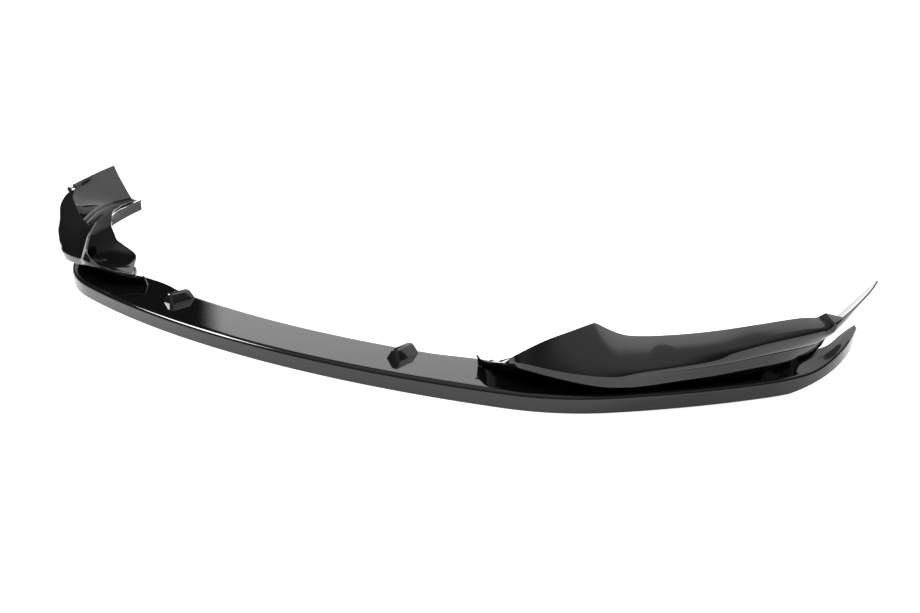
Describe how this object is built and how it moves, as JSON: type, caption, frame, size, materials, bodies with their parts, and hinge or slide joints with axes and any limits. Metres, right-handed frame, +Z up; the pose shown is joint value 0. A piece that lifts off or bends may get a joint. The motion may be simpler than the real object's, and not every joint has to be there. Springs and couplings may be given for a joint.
{
  "type": "front splitter lip",
  "caption": "Wide front splitter lip for a car: a thin blade with a turned-down front band, two locating nubs, and a corner panel with a leaning side wall at each end.",
  "frame": {"origin": "centre of the footprint, at the height of the front band's bottom edge", "axes": "+X across the car, the front looks along -Y, +Z up"},
  "size_m": [1.802, 0.5277, 0.1558],
  "materials": {
    "gloss_black": "high gloss"
  },
  "bodies": {
    "root": {"splitter_lip": "gloss_black"}
  },
  "joints": []
}
